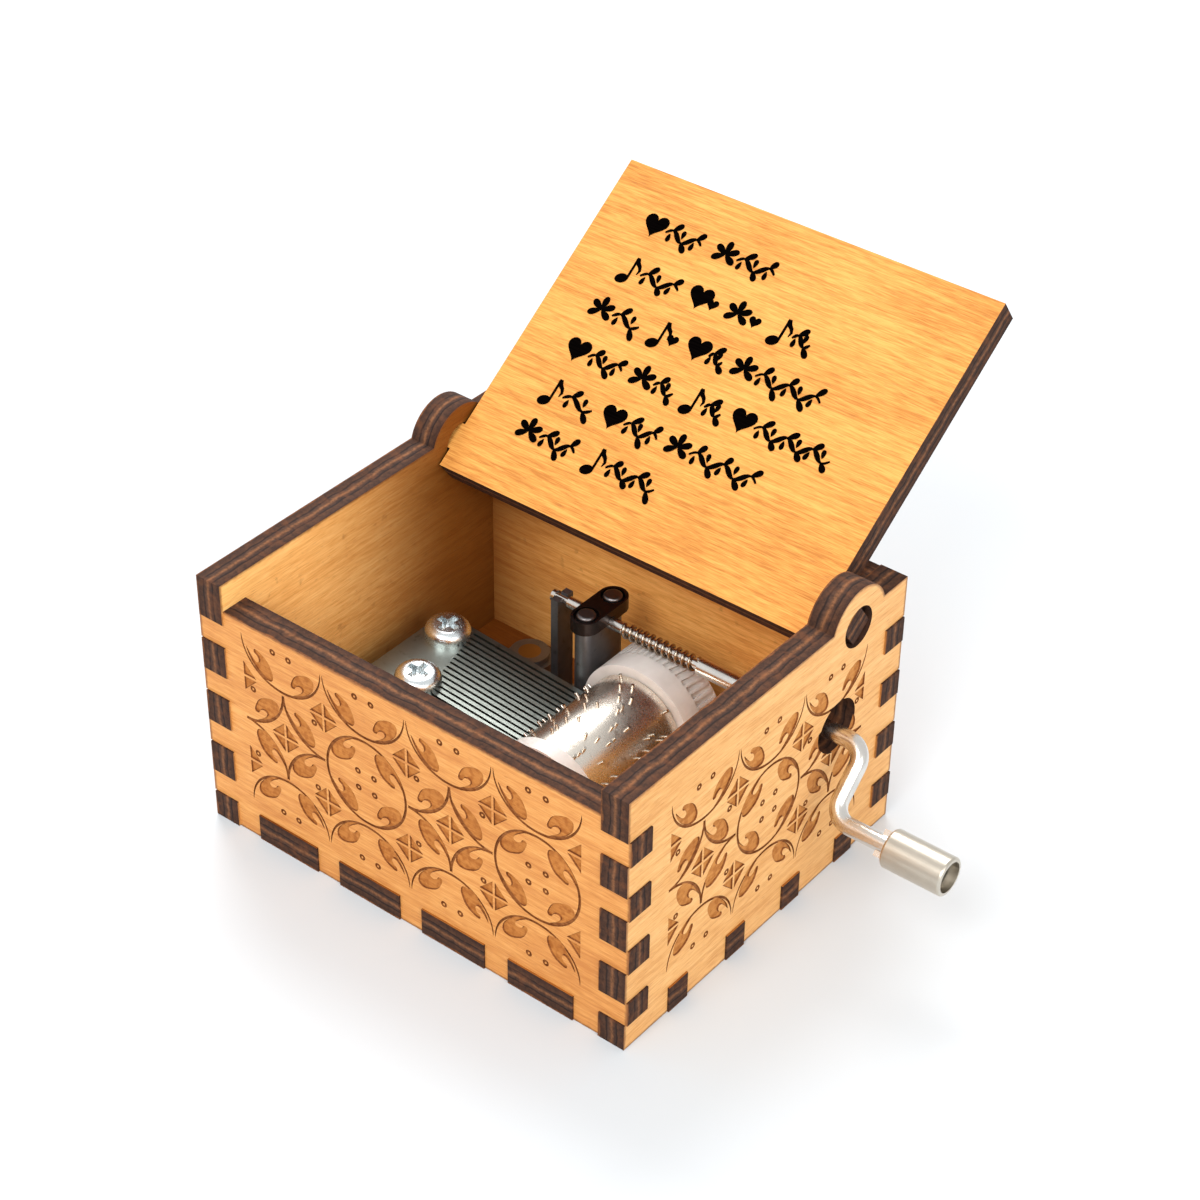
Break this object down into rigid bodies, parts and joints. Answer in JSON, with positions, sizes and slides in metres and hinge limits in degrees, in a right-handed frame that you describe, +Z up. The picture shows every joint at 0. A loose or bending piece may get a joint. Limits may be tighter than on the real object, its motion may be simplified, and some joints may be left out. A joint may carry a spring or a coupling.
{
  "type": "music box",
  "caption": "Small hand-cranked music box: finger-jointed plywood case, tilting lid in two ears, comb and pinned cylinder turned through a worm drive by a bent wire crank.",
  "frame": {"origin": "centre of the underside of the case", "axes": "+X to the crank side, +Y to the rear where the lid pivots, +Z up"},
  "size_m": [0.0852, 0.078, 0.061],
  "materials": {
    "plywood": "satin, laser-cut edges charred dark",
    "zinc_casting": "matte grey die casting",
    "comb_steel": "ground matte steel",
    "bright_zinc": "bright zinc plating",
    "nickel": "polished nickel",
    "satin_nickel": "satin nickel plating",
    "white_nylon": "slightly translucent natural nylon",
    "dark_clamp": "black-brown oxide",
    "spring_steel": "drawn wire",
    "brass": "yellow passivated"
  },
  "bodies": {
    "case": {"bottom_panel": "plywood", "front_wall": "plywood", "rear_wall": "plywood", "left_wall": "plywood", "right_wall": "plywood", "movement_base": "zinc_casting", "base_screws": "brass", "comb": "comb_steel", "comb_screws": "bright_zinc", "bearing_clamp": "dark_clamp", "clamp_screws": "bright_zinc"},
    "lid": {"lid": "plywood"},
    "cylinder": {"cylinder_shell": "nickel", "cylinder_pins": "nickel", "front_cap": "white_nylon", "worm_wheel": "white_nylon", "arbor": "spring_steel"},
    "crank": {"crank_rod": "satin_nickel", "worm_coil": "spring_steel"},
    "knob": {"knob": "satin_nickel"}
  },
  "joints": [
    {"name": "lid_hinge", "type": "hinge", "parent": "case", "child": "lid", "pos_m": [0, 0.01635, 0.0349], "axis": [1, 0, 0], "range_deg": [0, 144.4]},
    {"name": "crank_spin", "type": "hinge", "parent": "case", "child": "crank", "pos_m": [0.032, 0.0125, 0.02188], "axis": [1, 0, 0], "continuous": true},
    {"name": "cylinder_spin", "type": "hinge", "parent": "case", "child": "cylinder", "pos_m": [0.0068, 0, 0.01285], "axis": [0, 1, 0], "continuous": true},
    {"name": "knob_spin", "type": "hinge", "parent": "crank", "child": "knob", "pos_m": [0.049, 0.00614, 0.01552], "axis": [1, 0, 0], "continuous": true}
  ],
  "couplings": [
    {"joint": "cylinder_spin", "follows": "crank_spin", "ratio": -0.019608}
  ]
}
